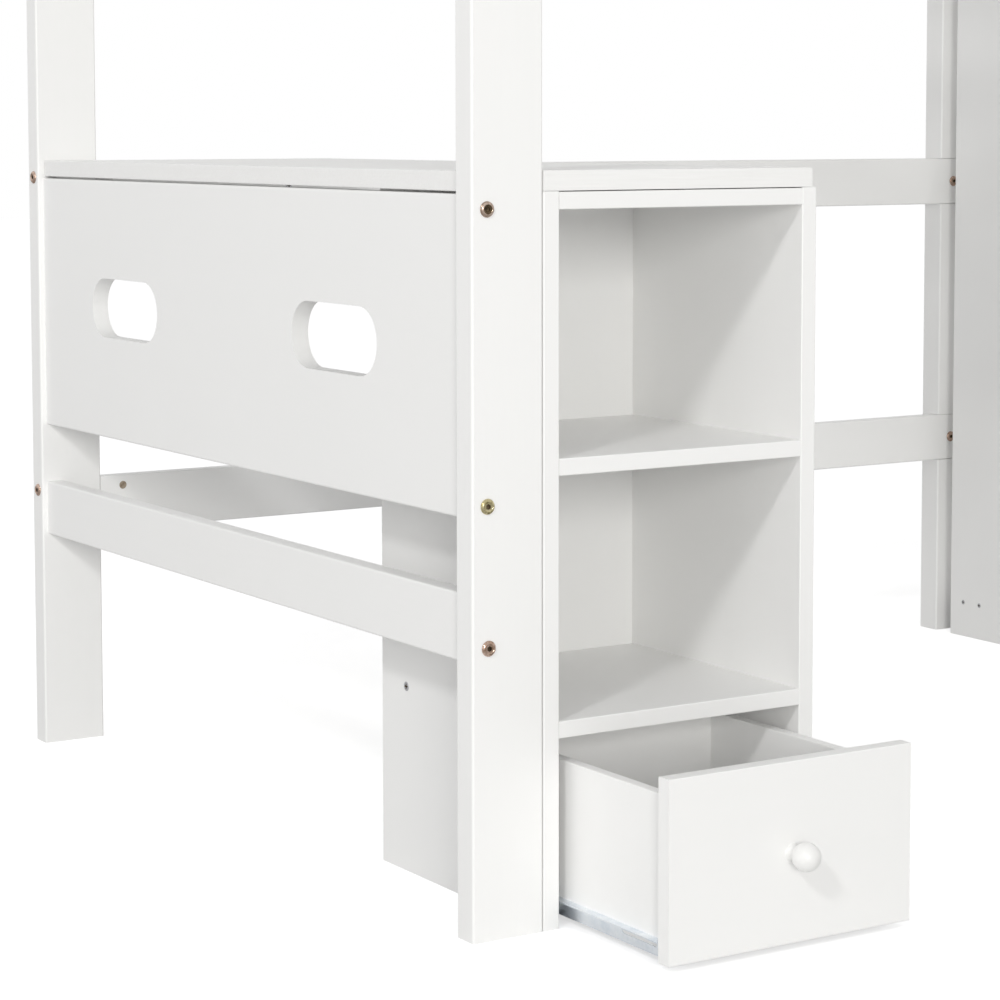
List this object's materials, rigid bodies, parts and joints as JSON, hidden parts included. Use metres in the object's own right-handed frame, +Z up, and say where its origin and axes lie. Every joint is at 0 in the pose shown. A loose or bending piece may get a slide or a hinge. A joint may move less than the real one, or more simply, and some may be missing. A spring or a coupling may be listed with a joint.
{
  "type": "loft bed",
  "caption": "Twin loft bed on board posts, with slatted deck, guard rails, ladder, desk top on a cubby cabinet with a roller-slide drawer, and a tall open shelf unit.",
  "frame": {"origin": "middle of the foot of the front left post, on the floor", "axes": "+X along the bed to the right, +Y from the front to the back, +Z up"},
  "size_m": [2.0152, 1.2884, 1.72],
  "materials": {
    "white_board": "satin white paint over wood",
    "knob_white": "satin white paint",
    "bolt_bronze": "antique bronze plate",
    "nut_steel": "zinc plate",
    "screw_zinc": "zinc plate",
    "slide_zinc": "bright zinc plate",
    "roller_nylon": "moulded nylon"
  },
  "bodies": {
    "bed_frame": {"back_leg": "white_board", "back_rail_desk": "white_board", "back_rail_low": "white_board", "barrel_nuts": "nut_steel", "cabinet_back": "white_board", "cabinet_shelf_lower": "white_board", "cabinet_shelf_upper": "white_board", "cabinet_side_left": "white_board", "cabinet_side_right": "white_board", "cabinet_top": "white_board", "deck_end_left": "white_board", "deck_end_right": "white_board", "deck_rail_back": "white_board", "deck_rail_front": "white_board", "desk_cleat": "white_board", "desk_top": "white_board", "end_panel_slotted": "white_board", "end_rail_left": "white_board", "end_rail_right": "white_board", "flush_screws": "screw_zinc", "frame_bolts": "bolt_bronze", "guard_back": "white_board", "guard_end_left": "white_board", "guard_end_right": "white_board", "guard_front_left": "white_board", "guard_front_right": "white_board", "guard_stiles": "white_board", "ladder_side_left": "white_board", "ladder_side_right": "white_board", "ladder_treads": "white_board", "post_back_left": "white_board", "post_back_right": "white_board", "post_front_left": "white_board", "post_front_right": "white_board", "shelf_pins": "screw_zinc", "slat_ledger_back": "white_board", "slat_ledger_front": "white_board", "slats": "white_board", "slide_channel_left": "slide_zinc", "slide_channel_right": "slide_zinc", "tall_back": "white_board", "tall_base": "white_board", "tall_plinth": "white_board", "tall_shelf_1": "white_board", "tall_shelf_2": "white_board", "tall_side_left": "white_board", "tall_side_right": "white_board", "tall_top": "white_board"},
    "drawer": {"drawer_front": "white_board", "drawer_side_left": "white_board", "drawer_side_right": "white_board", "drawer_back": "white_board", "drawer_base": "white_board", "drawer_knob": "knob_white", "slide_runner_left": "slide_zinc", "slide_runner_right": "slide_zinc"},
    "slide_roller_front_left": {"slide_roller_front_left": "roller_nylon"},
    "slide_roller_front_right": {"slide_roller_front_right": "roller_nylon"},
    "slide_roller_rear_left": {"slide_roller_rear_left": "roller_nylon"},
    "slide_roller_rear_right": {"slide_roller_rear_right": "roller_nylon"}
  },
  "joints": [
    {"name": "drawer_slide", "type": "slide", "parent": "bed_frame", "child": "drawer", "axis": [0, 1, 0], "range_m": [-0.046, 0.179]},
    {"name": "slide_roller_front_left_spin", "type": "hinge", "parent": "bed_frame", "child": "slide_roller_front_left", "pos_m": [0.0653, 0.014, 0.017], "axis": [1, 0, 0], "range_deg": [-1400, 360]},
    {"name": "slide_roller_front_right_spin", "type": "hinge", "parent": "bed_frame", "child": "slide_roller_front_right", "pos_m": [0.3473, 0.014, 0.017], "axis": [1, 0, 0], "range_deg": [-1400, 360]},
    {"name": "slide_roller_rear_left_spin", "type": "hinge", "parent": "drawer", "child": "slide_roller_rear_left", "pos_m": [0.0653, 0.105, 0.014], "axis": [1, 0, 0], "range_deg": [-1400, 360]},
    {"name": "slide_roller_rear_right_spin", "type": "hinge", "parent": "drawer", "child": "slide_roller_rear_right", "pos_m": [0.3473, 0.105, 0.014], "axis": [1, 0, 0], "range_deg": [-1400, 360]}
  ],
  "couplings": [
    {"joint": "slide_roller_front_left_spin", "follows": "drawer_slide", "rad_per_m": -133.33},
    {"joint": "slide_roller_front_right_spin", "follows": "drawer_slide", "rad_per_m": -133.33},
    {"joint": "slide_roller_rear_left_spin", "follows": "drawer_slide", "rad_per_m": -133.33},
    {"joint": "slide_roller_rear_right_spin", "follows": "drawer_slide", "rad_per_m": -133.33}
  ]
}
